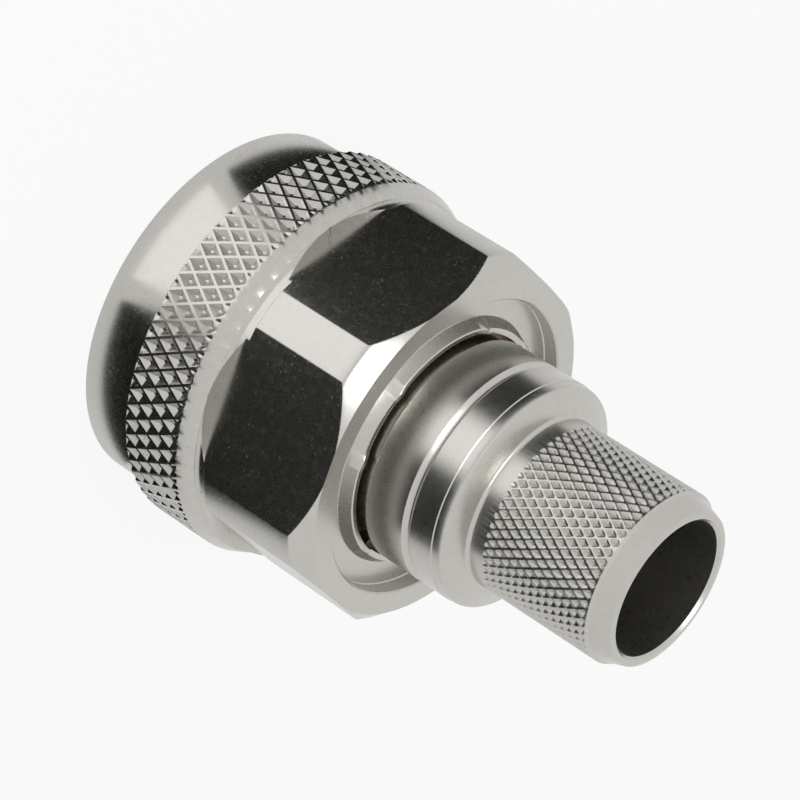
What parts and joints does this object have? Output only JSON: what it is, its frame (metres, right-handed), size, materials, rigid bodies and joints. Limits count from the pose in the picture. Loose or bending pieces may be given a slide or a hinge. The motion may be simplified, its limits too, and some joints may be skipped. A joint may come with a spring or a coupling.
{
  "type": "coaxial n plug connector",
  "caption": "Straight screw-on coaxial cable plug with a free-spinning knurled hex coupling nut and a knurled crimp tube for the cable braid.",
  "frame": {"origin": "centre of the coupling nut's front face, at the mating end", "axes": "+Z along the axis from the mating end to the cable end; a pair of wrench flats faces +X and -X"},
  "size_m": [0.0212, 0.0212, 0.0303],
  "materials": {
    "nut_nickel": "satin nickel plate on turned and milled brass",
    "body_nickel": "satin nickel plate on turned brass",
    "contact_plating": "bright white bronze plate",
    "spring_bronze": "bare phosphor bronze",
    "gold_plating": "gold plate",
    "ptfe": "waxy white PTFE",
    "silicone": "matt silicone rubber"
  },
  "bodies": {
    "connector": {"connector_body": "body_nickel", "outer_contact": "contact_plating", "front_insulator": "ptfe", "rear_insulator": "ptfe", "centre_contact": "gold_plating", "gasket": "silicone", "retaining_ring": "spring_bronze"},
    "nut": {"coupling_nut": "nut_nickel"}
  },
  "joints": [
    {"name": "nut_spin", "type": "hinge", "parent": "connector", "child": "nut", "pos_m": [0, 0, 0], "axis": [0, 0, 1], "continuous": true}
  ]
}
